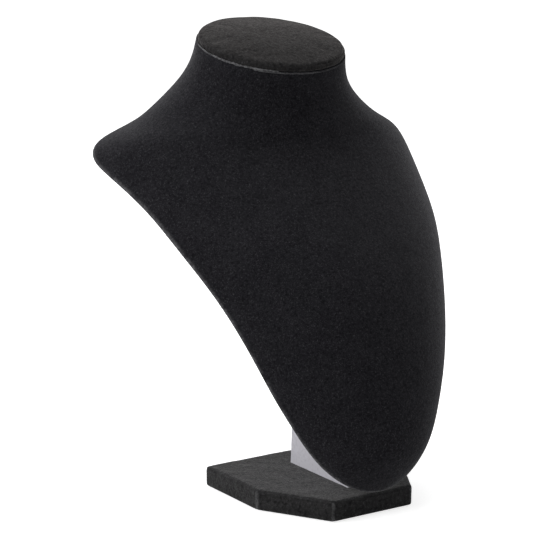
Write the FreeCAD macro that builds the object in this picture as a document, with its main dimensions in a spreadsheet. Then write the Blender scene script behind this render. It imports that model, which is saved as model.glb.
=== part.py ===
"""Necklace stand: a velvet bust with an oval neck cap, on an upright board and a six-sided base.

The origin is the centre of the base's underside. The front is towards -Y.
"""
import FreeCAD, Part
import math
import os
import Sketcher
from FreeCAD import Rotation, Vector

# The bust is drawn as level ovals. Each has its rise above the oval below it, its half width,
# and how far forward or back its front and its rear lie.
OVALS = {
    "tip": (13.5, 11.5, -60.5, -42),
    "toe": (10.5, 29.5, -69, -34),
    "heel": (17, 48, -77, -10),
    "lap": (25, 67.5, -80.5, 38.5),
    "belly": (31, 86, -77, 86),
    "waist": (33, 100, -68, 123.5),
    "chest": (33, 117, -50.5, 169.5),
    "armpit": (28, 131.5, -26, 209.5),
    "shoulder": (24, 133, -2.5, 215.5),
    "ridge": (17, 126.5, 14, 193),
    "collar": (16, 102, 23, 151.5),
    "nape": (16, 77, 27, 137),
    "neck": (17, 61.5, 26, 125.5),
    "throat": (20, 55.5, 22.5, 112),
    "crown": (24, 52.5, 17, 106),
}

SIZES = {
    # back of the bust in side view: a start point, then three arcs that run on smoothly
    "back_start_reach": -63.2,
    "back_start_rise": 15.6,
    "back_lean": 15,
    "low_bend_radius": 755,
    "low_bend_lean": 21.5,
    "high_bend_radius": 238.5,
    "high_bend_lean": 65,
    "nape_bend_radius": 86.5,
    # cloth and walls of the bust
    "velvet": 1.2,
    "shell_wall": 3,
    "panel": 4,
    "cloth_margin": 5,
    "rim_round": 1.8,
    "seam_round": 0.8,
    # oval cap on the neck, with its middle on the seam
    "seam_reach": 65.8,
    "seam_rise": 302,
    "seam_tilt": 18,
    "cap_half_width": 54,
    "cap_half_depth": 45,
    "cap_side_radius": 38,
    "cap_tall": 6,
    "cap_round": 3,
    "cap_board": 1.5,
    "cap_hem": 14,
    # upright board, with its felt
    "upright_width": 14,
    "upright_front": -60,
    "upright_toe": -38,
    "upright_toe_rise": 24,
    "upright_rear": 31,
    "upright_rise": 150,
    "upright_lean": 3,
    "felt": 1,
    "felt_round": 0.6,
    # base board, with its velvet and the sheet under it
    "base_half_width": 61,
    "base_half_depth": 57,
    "base_front_half": 32.5,
    "base_bevel_depth": 48.5,
    "base_board": 12,
    "base_velvet": 1,
    "base_corner": 2,
    "base_round": 0.7,
    "base_hem": 14,
    "liner": 0.6,
    "liner_margin": 5,
    # countersunk screws
    "screw_radius": 2,
    "screw_head_radius": 4,
    "screw_length": 30,
    "screw_clearance": 0.25,
    "base_screw_reach": -25,
    "base_screw_pitch": 40,
    "low_screw_lean": 24,
    "high_screw_lean": 31,
    # how far the cutting shapes run past the object
    "cutter_run": 200,
}

TINY = 1e-6
NEAR = 0.5
NODES = []


def size(name):
    """The plain value of one driving dimension."""
    return float(SIZES[name])


def make_sheet(doc):
    """One cell for each driving dimension, with its name as alias."""
    sheet = doc.addObject("Spreadsheet::Sheet", "Sizes")
    cells = dict(SIZES)
    for oval, values in OVALS.items():
        for part, value in zip(("rise", "half_width", "front", "rear"), values):
            cells["%s_%s" % (oval, part)] = value
    for row, (name, value) in enumerate(cells.items(), 1):
        sheet.set("A%d" % row, name)
        sheet.set("B%d" % row, str(value))
        sheet.setAlias("B%d" % row, name)
    doc.recompute()


def bind(thing, **formulas):
    """Bind properties to formulas in millimetres; a double underscore stands for a dot."""
    for prop, formula in formulas.items():
        thing.setExpression(prop.replace("__", "."), "(%s) * 1mm" % formula)


def bind_angle(thing, prop, formula):
    thing.setExpression(prop, "(%s) * 1deg" % formula)


def keep(thing, label):
    """Mark a finished sub-part, under the name of its file."""
    thing.Label = label
    NODES.append(thing)
    return thing


# Booleans between document objects

def cut(doc, name, base, *tools):
    """Take each tool away from the base in turn."""
    result = base
    for tool in tools:
        step = doc.addObject("Part::Cut", name)
        step.Base = result
        step.Tool = tool
        result = step
    return result


def common(doc, name, first, second):
    result = doc.addObject("Part::Common", name)
    result.Base = first
    result.Tool = second
    return result


def group(doc, name, things):
    result = doc.addObject("Part::Compound", name)
    result.Links = things
    return result


# Bodies and sketches

def add_sketch(body, name, role):
    """A sketch on one of the body's own origin planes."""
    plane = [feature for feature in body.Origin.OriginFeatures if feature.Role == role][0]
    sketch = body.newObject("Sketcher::SketchObject", name)
    sketch.AttachmentSupport = [(plane, "")]
    sketch.MapMode = "FlatFace"
    return sketch


def add_pad(body, sketch, length, midplane=False):
    pad = body.newObject("PartDesign::Pad", sketch.Name + "_pad")
    pad.Profile = sketch
    if midplane:
        pad.SideType = "Symmetric"
    bind(pad, Length=length)
    body.Tip = pad
    return pad


def add_fillet(body, name, edges, radius):
    before = body.Tip
    fillet = body.newObject("PartDesign::Fillet", name)
    fillet.Base = (before, edges)
    bind(fillet, Radius=radius)
    body.Tip = fillet
    return fillet


def edge_names(shape, test):
    """Names of the edges that pass a test."""
    return ["Edge%d" % number for number, edge in enumerate(shape.Edges, 1) if test(edge)]


def hold(sketch, kind, places, start, formula):
    """Add a driving length to a sketch, and bind it."""
    number = sketch.addConstraint(Sketcher.Constraint(kind, *places, start))
    bind(sketch, **{"Constraints[%d]" % number: formula})


def hold_angle(sketch, places, start, formula):
    number = sketch.addConstraint(Sketcher.Constraint("Angle", *places, math.radians(start)))
    bind_angle(sketch, "Constraints[%d]" % number, formula)


def hold_corner(sketch, line, point, formulas):
    """Hold the start point of a line at two formulas."""
    hold(sketch, "DistanceX", (-1, 1, line, 1), point.x, formulas[0])
    hold(sketch, "DistanceY", (-1, 1, line, 1), point.y, formulas[1])


def add_polygon(sketch, corners, formulas):
    """A closed outline with each corner held at its own pair of formulas."""
    count = len(corners)
    for k in range(count):
        sketch.addGeometry(Part.LineSegment(corners[k], corners[(k + 1) % count]), False)
    for k in range(count):
        sketch.addConstraint(Sketcher.Constraint("Coincident", k, 2, (k + 1) % count, 1))
    for k in range(count):
        hold_corner(sketch, k, corners[k], formulas[k])


# Level ovals of the bust

def level(oval):
    """Height of an oval: the rises of all ovals up to it."""
    names = list(OVALS)
    return "(" + " + ".join("Sizes.%s_rise" % name for name in names[: names.index(oval) + 1]) + ")"


def slope_factor(oval, edge):
    """How much a wall measured square to the surface grows when it is measured level."""
    names = list(OVALS)
    place = names.index(oval)
    if place in (0, len(names) - 1):
        return "1"
    below, above = names[place - 1], names[place + 1]
    change = "(Sizes.%s_%s - Sizes.%s_%s)" % (above, edge, below, edge)
    return "sqrt(1 + (%s / (Sizes.%s_rise + Sizes.%s_rise))^2)" % (change, oval, above)


def add_bust_loft(doc, name, inset):
    """The whole bust as one smooth body through its level ovals, drawn in by a wall."""
    rings = []
    for oval in OVALS:
        front = "(Sizes.%s_front + %s * %s)" % (oval, inset, slope_factor(oval, "front"))
        rear = "(Sizes.%s_rear - %s * %s)" % (oval, inset, slope_factor(oval, "rear"))
        side = "(Sizes.%s_half_width - %s * %s)" % (oval, inset, slope_factor(oval, "half_width"))
        ring = doc.addObject("Part::Ellipse", name + "_" + oval)
        bind(
            ring,
            MajorRadius=side,
            MinorRadius="(%s - %s) / 2" % (rear, front),
            Placement__Base__y="(%s + %s) / 2" % (rear, front),
            Placement__Base__z=level(oval),
        )
        rings.append(ring)
    loft = doc.addObject("Part::Loft", name)
    doc.recompute()
    loft.Sections = rings
    loft.Solid = True
    return loft


# Everything behind the bust's back, in side view

def turn_point(centre, radius, lean):
    """The point of an arc where its tangent leans back by an angle from plumb."""
    return centre + Vector(-math.cos(math.radians(lean)), math.sin(math.radians(lean)), 0) * radius


def turn_arc(centre, radius, begin, end):
    """An arc from one point to the next, turning anticlockwise about its centre."""
    first, last = [math.atan2(point.y - centre.y, point.x - centre.x) for point in (begin, end)]
    return Part.ArcOfCircle(Part.Circle(centre, Vector(0, 0, 1), radius), first, last)


def add_back_cutter(doc, name, inset, depth):
    """The space behind the back line: a tangent, three arcs, a plumb line and a frame.

    The line lies in front of the bust's back by an inset: its formula, and its depth as a number.
    """
    lean, low_lean, high_lean = size("back_lean"), size("low_bend_lean"), size("high_bend_lean")
    low_radius = size("low_bend_radius") + depth
    high_radius = size("high_bend_radius") + depth
    nape_radius = size("nape_bend_radius") - depth
    run = size("cutter_run")
    origin = Vector(size("back_start_reach"), size("back_start_rise"), 0)
    start = turn_point(origin, depth, lean)
    low_centre = turn_point(start, -low_radius, lean)
    first = turn_point(low_centre, low_radius, low_lean)
    high_centre = turn_point(first, -high_radius, low_lean)
    second = turn_point(high_centre, high_radius, high_lean)
    nape_centre = turn_point(second, nape_radius, high_lean)
    third = nape_centre + Vector(nape_radius, 0, 0)
    toe = start - Vector(math.sin(math.radians(lean)), math.cos(math.radians(lean)), 0) * run
    top = third + Vector(0, run, 0)
    far_top = top + Vector(run, 0, 0)
    far_low = Vector(far_top.x, toe.y, 0)

    body = doc.addObject("PartDesign::Body", name)
    sketch = add_sketch(body, name + "_line", "YZ_Plane")
    shapes = [
        Part.LineSegment(toe, start),
        turn_arc(low_centre, low_radius, first, start),
        turn_arc(high_centre, high_radius, second, first),
        turn_arc(nape_centre, nape_radius, second, third),
        Part.LineSegment(third, top),
        Part.LineSegment(top, far_top),
        Part.LineSegment(far_top, far_low),
        Part.LineSegment(far_low, toe),
    ]
    sketch.addGeometry(shapes, False)
    tangent, low, high, nape, plumb, lid, rear, floor = range(len(shapes))
    links = [
        ("Tangent", tangent, 2, low, 2),
        ("Tangent", low, 1, high, 2),
        ("Tangent", high, 1, nape, 1),
        ("Tangent", nape, 2, plumb, 1),
        ("Coincident", plumb, 2, lid, 1),
        ("Coincident", lid, 2, rear, 1),
        ("Coincident", rear, 2, floor, 1),
        ("Coincident", floor, 2, tangent, 1),
        ("Vertical", plumb),
        ("Horizontal", lid),
        ("Vertical", rear),
        ("Horizontal", floor),
    ]
    for link in links:
        sketch.addConstraint(Sketcher.Constraint(*link))
    hold(sketch, "DistanceX", (-1, 1, tangent, 2), start.x,
         "Sizes.back_start_reach - %s * cos(Sizes.back_lean * 1deg)" % inset)
    hold(sketch, "DistanceY", (-1, 1, tangent, 2), start.y,
         "Sizes.back_start_rise + %s * sin(Sizes.back_lean * 1deg)" % inset)
    hold_angle(sketch, (tangent,), 90 - lean, "90 - Sizes.back_lean")
    hold(sketch, "Radius", (low,), low_radius, "Sizes.low_bend_radius + %s" % inset)
    hold(sketch, "Radius", (high,), high_radius, "Sizes.high_bend_radius + %s" % inset)
    hold(sketch, "Radius", (nape,), nape_radius, "Sizes.nape_bend_radius - %s" % inset)
    hold_angle(sketch, (low,), low_lean - lean, "Sizes.low_bend_lean - Sizes.back_lean")
    hold_angle(sketch, (high,), high_lean - low_lean, "Sizes.high_bend_lean - Sizes.low_bend_lean")
    for line in (tangent, plumb, lid):
        hold(sketch, "Distance", (line,), run, "Sizes.cutter_run")
    add_pad(body, sketch, "2 * Sizes.cutter_run", midplane=True)
    return body


def add_top_cutter(doc):
    """The space above the seam between neck and cap."""
    box = doc.addObject("Part::Box", "above_seam")
    box.Placement.Rotation = Rotation(Vector(1, 0, 0), size("seam_tilt"))
    tilt = "Sizes.seam_tilt * 1deg"
    bind(
        box,
        Length="2 * Sizes.cutter_run",
        Width="2 * Sizes.cutter_run",
        Height="Sizes.cutter_run",
        Placement__Base__x="-Sizes.cutter_run",
        Placement__Base__y="Sizes.seam_reach - Sizes.cutter_run * cos(%s)" % tilt,
        Placement__Base__z="Sizes.seam_rise - Sizes.cutter_run * sin(%s)" % tilt,
    )
    bind_angle(box, "Placement.Rotation.Angle", "Sizes.seam_tilt")
    return box


# Bust

def add_rounded_bust(doc, form):
    """The bust's outside, with its back rim and its edge at the neck seam rounded."""
    body = doc.addObject("PartDesign::Body", "bust_outside")
    body.BaseFeature = form
    doc.recompute()
    tilt = math.radians(size("seam_tilt"))
    seam_normal = Vector(0, -math.sin(tilt), math.cos(tilt))

    def flat_side(edge, shape):
        """The flat or ruled face beside an edge of the curved front, if there is one."""
        faces = shape.ancestorsOfType(edge, Part.Face)
        curved = [face for face in faces if isinstance(face.Surface, Part.BSplineSurface)]
        others = [face for face in faces if not isinstance(face.Surface, Part.BSplineSurface)]
        return others[0] if len(curved) == 1 and len(others) == 1 else None

    def at_seam(face):
        return isinstance(face.Surface, Part.Plane) and face.Surface.Axis.cross(seam_normal).Length < TINY

    shape = body.Tip.Shape
    rim = edge_names(shape, lambda edge: flat_side(edge, shape) and not at_seam(flat_side(edge, shape)))
    add_fillet(body, "rim", rim, "Sizes.rim_round")
    doc.recompute()
    shape = body.Tip.Shape
    seam = edge_names(shape, lambda edge: flat_side(edge, shape) and at_seam(flat_side(edge, shape)))
    add_fillet(body, "seam_edge", seam, "Sizes.seam_round")
    return body


def add_bust(doc):
    """Chest, shoulders and neck: velvet, moulded shell, bent back panel and the panel's velvet."""
    whole = add_bust_loft(doc, "whole", "0")
    lining = add_bust_loft(doc, "lining", "Sizes.velvet")
    hollow = add_bust_loft(doc, "hollow", "(Sizes.velvet + Sizes.shell_wall)")
    patch = add_bust_loft(doc, "patch", "Sizes.cloth_margin")
    behind = add_back_cutter(doc, "behind", "0", 0)
    behind_velvet = add_back_cutter(doc, "behind_velvet", "Sizes.velvet", size("velvet"))
    behind_panel = add_back_cutter(
        doc, "behind_panel", "(Sizes.velvet + Sizes.panel)", size("velvet") + size("panel"))
    above = add_top_cutter(doc)
    outside = add_rounded_bust(doc, cut(doc, "bust_form", whole, behind, above))
    inside = cut(doc, "inside", lining, behind_velvet, above)
    back_cloth = cut(doc, "back_cloth", common(doc, "cloth_band", patch, behind_velvet), behind)
    panel = cut(doc, "panel", common(doc, "panel_band", lining, behind_panel), behind_velvet)
    screws, holes = add_back_screws(doc)
    keep(cut(doc, "bust_velvet", outside, inside, back_cloth), "bust_cover")
    keep(cut(doc, "moulding", lining, behind_panel, above, hollow), "bust_shell")
    keep(cut(doc, "bored_panel", panel, holes), "back_panel")
    keep(cut(doc, "bored_cloth", back_cloth, holes), "back_cover")
    keep(screws, "back_screws")
    return behind, screws


# Screws

def add_screw(doc, name, clearance, room):
    """A countersunk screw that points up from its flat head, or the hole that clears its shank."""
    screw = doc.addObject("PartDesign::Body", name)
    sketch = add_sketch(screw, name + "_half", "XZ_Plane")
    shank = size("screw_radius") + room
    wide = size("screw_head_radius")
    long = size("screw_length")
    corners = [
        Vector(0, 0, 0),
        Vector(wide, 0, 0),
        Vector(shank, wide - shank, 0),
        Vector(shank, long - shank, 0),
        Vector(0, long, 0),
    ]
    shank_formula = "(Sizes.screw_radius + %s)" % clearance
    formulas = [
        ("0", "0"),
        ("Sizes.screw_head_radius", "0"),
        (shank_formula, "Sizes.screw_head_radius - " + shank_formula),
        (shank_formula, "Sizes.screw_length - " + shank_formula),
        ("0", "Sizes.screw_length"),
    ]
    add_polygon(sketch, corners, formulas)
    turned = screw.newObject("PartDesign::Revolution", name + "_turned")
    turned.Profile = sketch
    turned.ReferenceAxis = (sketch, ["V_Axis"])
    turned.Angle = 360
    screw.Tip = turned
    return screw


def add_screws(doc, name, placings):
    """Screws and their clearance holes, each set placed by a function that binds one body."""
    screws = [add_screw(doc, name + "_screw", "0", 0) for _ in placings]
    holes = [add_screw(doc, name + "_hole", "Sizes.screw_clearance", size("screw_clearance")) for _ in placings]
    for bodies in (screws, holes):
        for body, place in zip(bodies, placings):
            place(body)
    return group(doc, name + "_screws", screws), group(doc, name + "_holes", holes)


def add_back_screws(doc):
    """Two screws that go square through the back panel, heads at its inner face."""
    turn = ("({sign}Sizes.low_bend_radius * (cos(Sizes.back_lean * 1deg) - cos(Sizes.low_bend_lean * 1deg))"
            " + Sizes.high_bend_radius * cos(Sizes.low_bend_lean * 1deg))")
    centre_y = "(Sizes.back_start_reach + %s)" % turn.format(sign="")
    centre_z = ("(Sizes.back_start_rise"
                " + (Sizes.low_bend_radius - Sizes.high_bend_radius) * sin(Sizes.low_bend_lean * 1deg)"
                " - Sizes.low_bend_radius * sin(Sizes.back_lean * 1deg))")
    reach = "(Sizes.high_bend_radius + Sizes.velvet + Sizes.panel)"

    def placing(lean):
        def place(body):
            body.Placement.Rotation = Rotation(Vector(-1, 0, 0), 90 + size(lean))
            bind(
                body,
                Placement__Base__y="%s - %s * cos(Sizes.%s * 1deg)" % (centre_y, reach, lean),
                Placement__Base__z="%s + %s * sin(Sizes.%s * 1deg)" % (centre_z, reach, lean),
            )
            bind_angle(body, "Placement.Rotation.Angle", "90 + Sizes.%s" % lean)
        return place

    return add_screws(doc, "back", [placing("low_screw_lean"), placing("high_screw_lean")])


def add_base_screws(doc):
    """Two screws up through the base board, heads flush with its underside."""
    def placing(offset):
        def place(body):
            bind(
                body,
                Placement__Base__y="Sizes.base_screw_reach" + offset,
                Placement__Base__z="Sizes.liner + Sizes.base_velvet",
            )
        return place

    return add_screws(doc, "base", [placing(""), placing(" + Sizes.base_screw_pitch")])


# Oval cap on the neck

def set_on_seam(thing, lift="0"):
    """Place a body on the seam plane, lifted square to it."""
    thing.Placement.Rotation = Rotation(Vector(1, 0, 0), size("seam_tilt"))
    bind(
        thing,
        Placement__Base__y="Sizes.seam_reach - (%s) * sin(Sizes.seam_tilt * 1deg)" % lift,
        Placement__Base__z="Sizes.seam_rise + (%s) * cos(Sizes.seam_tilt * 1deg)" % lift,
    )
    bind_angle(thing, "Placement.Rotation.Angle", "Sizes.seam_tilt")


def add_oval_sketch(body, name, inset, depth):
    """Half of an oval of four arcs, drawn in by an inset: a rear, a side and a front arc, and a chord."""
    side = size("cap_side_radius")
    reach = size("cap_half_width") - side
    half_depth = size("cap_half_depth")
    broad = (reach**2 + half_depth**2 - side**2) / (2 * (half_depth - side))
    rear_centre = Vector(0, half_depth - broad, 0)
    side_centre = Vector(reach, 0, 0)
    towards = (side_centre - rear_centre).normalize()
    rear_join = rear_centre + towards * (broad - depth)
    front_join = Vector(rear_join.x, -rear_join.y, 0)
    rear_end = Vector(0, half_depth - depth, 0)
    sketch = add_sketch(body, name + "_outline", "XY_Plane")
    shapes = [
        turn_arc(rear_centre, broad - depth, rear_join, rear_end),
        turn_arc(side_centre, side - depth, front_join, rear_join),
        turn_arc(-rear_centre, broad - depth, -rear_end, front_join),
        Part.LineSegment(rear_end, -rear_end),
    ]
    sketch.addGeometry(shapes, False)
    rear, flank, front, chord = range(len(shapes))
    links = [
        ("Tangent", rear, 1, flank, 2),
        ("Tangent", flank, 1, front, 2),
        ("Coincident", rear, 2, chord, 1),
        ("Coincident", chord, 2, front, 1),
        ("PointOnObject", rear, 3, -2),
        ("PointOnObject", flank, 3, -1),
        ("PointOnObject", front, 3, -2),
        ("PointOnObject", rear, 2, -2),
        ("PointOnObject", front, 1, -2),
    ]
    for link in links:
        sketch.addConstraint(Sketcher.Constraint(*link))
    hold(sketch, "Radius", (flank,), side - depth, "Sizes.cap_side_radius - " + inset)
    hold(sketch, "DistanceX", (-1, 1, flank, 3), reach, "Sizes.cap_half_width - Sizes.cap_side_radius")
    hold(sketch, "DistanceY", (-1, 1, rear, 2), rear_end.y, "Sizes.cap_half_depth - " + inset)
    hold(sketch, "DistanceY", (front, 1, -1, 1), rear_end.y, "Sizes.cap_half_depth - " + inset)
    return sketch


def add_oval_block(doc, name, inset, depth, lift, tall):
    """An oval block on the seam plane, made as one half and mirrored."""
    body = doc.addObject("PartDesign::Body", name)
    sketch = add_oval_sketch(body, name, inset, depth)
    half = add_pad(body, sketch, tall)
    doc.recompute()
    whole = body.newObject("PartDesign::Mirrored", name + "_whole")
    whole.Originals = [half]
    whole.MirrorPlane = (sketch, ["V_Axis"])
    body.Tip = whole
    set_on_seam(body, lift)
    doc.recompute()
    return body


def add_cap_form(doc, name, inset, depth):
    """The cap drawn in by an inset, with its top edge rounded."""
    body = add_oval_block(doc, name, inset, depth, inset, "Sizes.cap_tall - 2 * " + inset)
    shape = body.Tip.Shape
    top = max(vertex.Z for vertex in shape.Vertexes)
    top_edges = edge_names(shape, lambda edge: min(vertex.Z for vertex in edge.Vertexes) > top - TINY)
    add_fillet(body, name + "_edge", top_edges, "Sizes.cap_round - " + inset)
    return body


def add_neck_cap(doc):
    """Board, foam pad and velvet of the cap, the velvet turned in under the board."""
    velvet = "Sizes.velvet"
    outside = add_cap_form(doc, "cap_outside", "0", 0)
    inside = add_cap_form(doc, "cap_inside", velvet, size("velvet"))
    board_space = add_oval_block(doc, "board_space", "0", 0, "0", "Sizes.velvet + Sizes.cap_board")
    opening = add_oval_block(doc, "cap_opening", "Sizes.cap_hem", size("cap_hem"), "0", velvet)
    keep(cut(doc, "cap_velvet", outside, inside, opening), "neck_cap_cover")
    keep(cut(doc, "cap_foam", inside, board_space), "neck_cap_pad")
    keep(common(doc, "cap_board_shaped", inside, board_space), "neck_cap_board")


# Upright board

def add_upright_block(doc, name, inset, depth):
    """Side view of the upright, drawn in by an inset on all sides but its foot.

    Its front slants up and forward from the toe of its foot.
    """
    body = doc.addObject("PartDesign::Body", name)
    sketch = add_sketch(body, name + "_side", "YZ_Plane")
    foot = "(Sizes.liner + 2 * Sizes.base_velvet + Sizes.base_board)"
    foot_level = size("liner") + 2 * size("base_velvet") + size("base_board")
    front = size("upright_front") + depth
    rear = size("upright_rear") - depth
    rise = size("upright_rise") - depth
    shift = rise * math.tan(math.radians(size("upright_lean")))
    toe, toe_rise = size("upright_toe"), size("upright_toe_rise")
    slant = math.atan2(toe_rise, toe - size("upright_front"))
    corners = [
        Vector(toe + depth / math.sin(slant), foot_level, 0),
        Vector(rear, foot_level, 0),
        Vector(rear - shift, foot_level + rise, 0),
        Vector(front, foot_level + rise, 0),
        Vector(front, foot_level + toe_rise + depth * math.tan((math.pi / 2 - slant) / 2), 0),
    ]
    tall = "(Sizes.upright_rise - %s)" % inset
    angle = "atan(Sizes.upright_toe_rise / (Sizes.upright_toe - Sizes.upright_front))"
    formulas = [
        ("Sizes.upright_toe + %s / sin(%s)" % (inset, angle), foot),
        ("Sizes.upright_rear - " + inset, foot),
        ("Sizes.upright_rear - %s - %s * tan(Sizes.upright_lean * 1deg)" % (inset, tall), foot + " + " + tall),
        ("Sizes.upright_front + " + inset, foot + " + " + tall),
        ("Sizes.upright_front + " + inset,
         "%s + Sizes.upright_toe_rise + %s * tan((90deg - %s) / 2)" % (foot, inset, angle)),
    ]
    add_polygon(sketch, corners, formulas)
    add_pad(body, sketch, "Sizes.upright_width - 2 * (%s)" % inset, midplane=True)
    return body


def add_upright(doc, behind, back_screws, base_screws):
    """The upright board and its felt, their front edge cut to the line of the bust's back."""
    board = add_upright_block(doc, "upright_core", "Sizes.felt", size("felt"))
    wrap = add_upright_block(doc, "upright_wrap", "0", 0)
    doc.recompute()
    foot = min(vertex.Z for vertex in wrap.Shape.Vertexes)
    front = min(vertex.Y for vertex in wrap.Shape.Vertexes)
    rear_or_top = edge_names(wrap.Shape, lambda edge: (
        max(vertex.Z for vertex in edge.Vertexes) > foot + NEAR
        and max(vertex.Y for vertex in edge.Vertexes) > front + NEAR))
    add_fillet(wrap, "felt_edges", rear_or_top, "Sizes.felt_round")
    shaped_board = common(doc, "upright_timber", board, behind)
    shaped_wrap = common(doc, "upright_wrapped", wrap, behind)
    keep(cut(doc, "upright_bored", shaped_board, back_screws, base_screws), "upright_board")
    keep(cut(doc, "upright_felt", shaped_wrap, board), "upright_cover")


# Base

def six_sides(inset, depth):
    """Corners of the base's plan, drawn in square to each side, and their formulas."""
    half_width, half_depth = size("base_half_width"), size("base_half_depth")
    front_half, bevel = size("base_front_half"), size("base_bevel_depth")
    turn = math.atan2(bevel, half_width - front_half)
    right = [
        (front_half - depth * math.tan(turn / 2), depth - half_depth),
        (half_width - depth, bevel - half_depth + depth * math.tan((math.pi / 2 - turn) / 2)),
        (half_width - depth, half_depth - depth),
    ]
    angle = "atan(Sizes.base_bevel_depth / (Sizes.base_half_width - Sizes.base_front_half))"
    side = "Sizes.base_half_width - %s" % inset
    formulas = [
        ("Sizes.base_front_half - %s * tan(%s / 2)" % (inset, angle), "%s - Sizes.base_half_depth" % inset),
        (side, "Sizes.base_bevel_depth - Sizes.base_half_depth + %s * tan((90deg - %s) / 2)" % (inset, angle)),
        (side, "Sizes.base_half_depth - %s" % inset),
    ]
    corners = [Vector(x, y, 0) for x, y in right] + [Vector(-x, y, 0) for x, y in reversed(right)]
    return corners, formulas + [("-(%s)" % x, y) for x, y in reversed(formulas)]


def add_six_sided(doc, name, inset, depth, low, tall):
    """A six-sided block of the base's plan, drawn in by an inset."""
    body = doc.addObject("PartDesign::Body", name)
    sketch = add_sketch(body, name + "_plan", "XY_Plane")
    corners, formulas = six_sides(inset, depth)
    add_polygon(sketch, corners, formulas)
    bind(body, Placement__Base__z=low)
    add_pad(body, sketch, tall)
    return body


def upright_edges(doc, body):
    doc.recompute()
    return edge_names(body.Tip.Shape, lambda edge: abs(edge.tangentAt(edge.FirstParameter).z) > 1 - TINY)


def add_base(doc, screws, holes):
    """Six-sided board, its velvet with the turned-in hem, and the stepped sheet underneath."""
    board = add_six_sided(doc, "base_core", "Sizes.base_velvet", size("base_velvet"),
                          "Sizes.liner + Sizes.base_velvet", "Sizes.base_board")
    add_fillet(board, "core_corners", upright_edges(doc, board), "Sizes.base_corner - Sizes.base_velvet")
    wrap = add_six_sided(doc, "base_wrap", "0", 0, "Sizes.liner", "Sizes.base_board + 2 * Sizes.base_velvet")
    add_fillet(wrap, "wrap_corners", upright_edges(doc, wrap), "Sizes.base_corner")
    doc.recompute()
    top = max(vertex.Z for vertex in wrap.Tip.Shape.Vertexes)
    top_edges = edge_names(wrap.Tip.Shape, lambda edge: min(vertex.Z for vertex in edge.Vertexes) > top - TINY)
    add_fillet(wrap, "wrap_top", top_edges, "Sizes.base_round")
    opening = add_six_sided(doc, "hem_opening", "Sizes.base_hem", size("base_hem"),
                            "Sizes.liner", "Sizes.base_velvet")
    sheet = add_six_sided(doc, "liner_sheet", "Sizes.liner_margin", size("liner_margin"), "0", "Sizes.liner")
    liner = doc.addObject("Part::MultiFuse", "liner_stepped")
    liner.Shapes = [sheet, opening]
    keep(cut(doc, "bored_board", board, holes), "base_board")
    keep(cut(doc, "base_velvet_skin", wrap, board, opening, holes), "base_cover")
    keep(liner, "base_liner")
    keep(screws, "base_screws")


def build():
    doc = FreeCAD.newDocument("necklace_stand")
    make_sheet(doc)
    behind, back_screws = add_bust(doc)
    add_neck_cap(doc)
    base_screws, base_holes = add_base_screws(doc)
    add_upright(doc, behind, back_screws, base_screws)
    add_base(doc, base_screws, base_holes)
    doc.recompute()
    return doc


def check(doc):
    """Stop if any object failed or any finished sub-part isn't a sound solid."""
    bad = [thing.Name for thing in doc.Objects if "Invalid" in thing.State or "Error" in thing.State]
    for node in NODES:
        if node.Shape.isNull() or not node.Shape.isValid() or not node.Shape.Solids:
            bad.append(node.Label)
    if bad:
        raise RuntimeError("not sound: " + ", ".join(bad))


def write():
    os.makedirs("parts", exist_ok=True)
    for node in NODES:
        node.Shape.exportStep("parts/%s.step" % node.Label)
        print("%-16s %d solid, %9.0f cubic mm" % (node.Label, len(node.Shape.Solids), node.Shape.Volume))


document = build()
check(document)
write()
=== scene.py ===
import math
import bpy
from mathutils import Matrix, Vector, kdtree, noise


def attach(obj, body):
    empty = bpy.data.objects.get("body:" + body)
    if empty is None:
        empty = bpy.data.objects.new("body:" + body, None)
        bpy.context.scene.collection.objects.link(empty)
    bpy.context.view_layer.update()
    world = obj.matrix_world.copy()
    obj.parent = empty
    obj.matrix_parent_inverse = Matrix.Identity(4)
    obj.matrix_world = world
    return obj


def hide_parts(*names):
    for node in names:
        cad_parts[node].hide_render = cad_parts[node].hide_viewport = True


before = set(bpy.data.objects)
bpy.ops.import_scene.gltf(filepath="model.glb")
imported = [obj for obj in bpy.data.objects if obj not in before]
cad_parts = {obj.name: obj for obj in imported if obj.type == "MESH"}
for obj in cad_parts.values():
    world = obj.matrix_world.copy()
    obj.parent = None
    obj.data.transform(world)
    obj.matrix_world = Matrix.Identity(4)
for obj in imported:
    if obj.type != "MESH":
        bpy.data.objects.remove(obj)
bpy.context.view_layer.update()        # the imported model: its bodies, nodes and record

# Necklace stand: a velvet bust with a padded oval cap, on a felted upright and a six-sided base.
# Everything is in metres, the front is towards -Y and the floor is at z = 0.

mm = 0.001

# Values that the pieces share
joinReach = 0.01 * mm        # points that are closer are joined
nearly = 0.1 * mm            # within this, an edge counts as lying at a height
steep = 0.9                  # from this much of a direction upwards, it counts as straight up
softAngle = 60               # edges of soft cloth that turn by fewer degrees are shaded smooth


# Small helpers

def deselectAll():
    if bpy.context.object and bpy.context.object.mode != "OBJECT":
        bpy.ops.object.mode_set(mode="OBJECT")
    bpy.ops.object.select_all(action="DESELECT")


def makeActive(piece):
    deselectAll()
    piece.select_set(True)
    bpy.context.view_layer.objects.active = piece


def smoothStep(low, high, value):
    part = min(1.0, max(0.0, (value - low) / (high - low)))
    return part * part * (3.0 - 2.0 * part)


def startPiece(name):
    # the primitive that was just added becomes a piece, open in edit mode with everything selected
    piece = bpy.context.object
    piece.name = name
    piece.data.name = name
    bpy.ops.object.mode_set(mode="EDIT")
    bpy.ops.mesh.select_all(action="SELECT")
    return piece


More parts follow.
